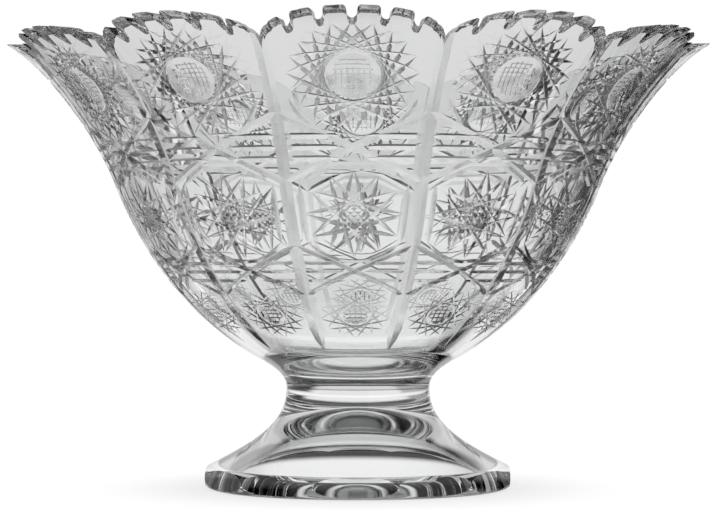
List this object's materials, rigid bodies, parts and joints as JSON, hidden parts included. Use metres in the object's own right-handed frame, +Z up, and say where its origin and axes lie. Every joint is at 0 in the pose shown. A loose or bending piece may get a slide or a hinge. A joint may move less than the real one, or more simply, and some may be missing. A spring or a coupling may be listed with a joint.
{
  "type": "footed bowl",
  "caption": "Footed cut-crystal bowl with a flared, scalloped and toothed rim, panels of star cutting, and a domed hollow foot with a faceted edge bonded on at the neck.",
  "frame": {"origin": "centre of the foot's resting face", "axes": "+Z up along the bowl's axis; a panel of the cutting faces -Y, the picture's side, and another faces +X"},
  "size_m": [0.3046, 0.3046, 0.1921],
  "materials": {
    "bowl_crystal": "clear lead crystal, deep cut and polished",
    "clear_adhesive": "clear light-cured adhesive",
    "foot_crystal": "clear lead crystal, plain polished dome with ground facets"
  },
  "bodies": {
    "root": {"bowl": "bowl_crystal", "bond_film": "clear_adhesive", "foot": "foot_crystal"}
  },
  "joints": []
}
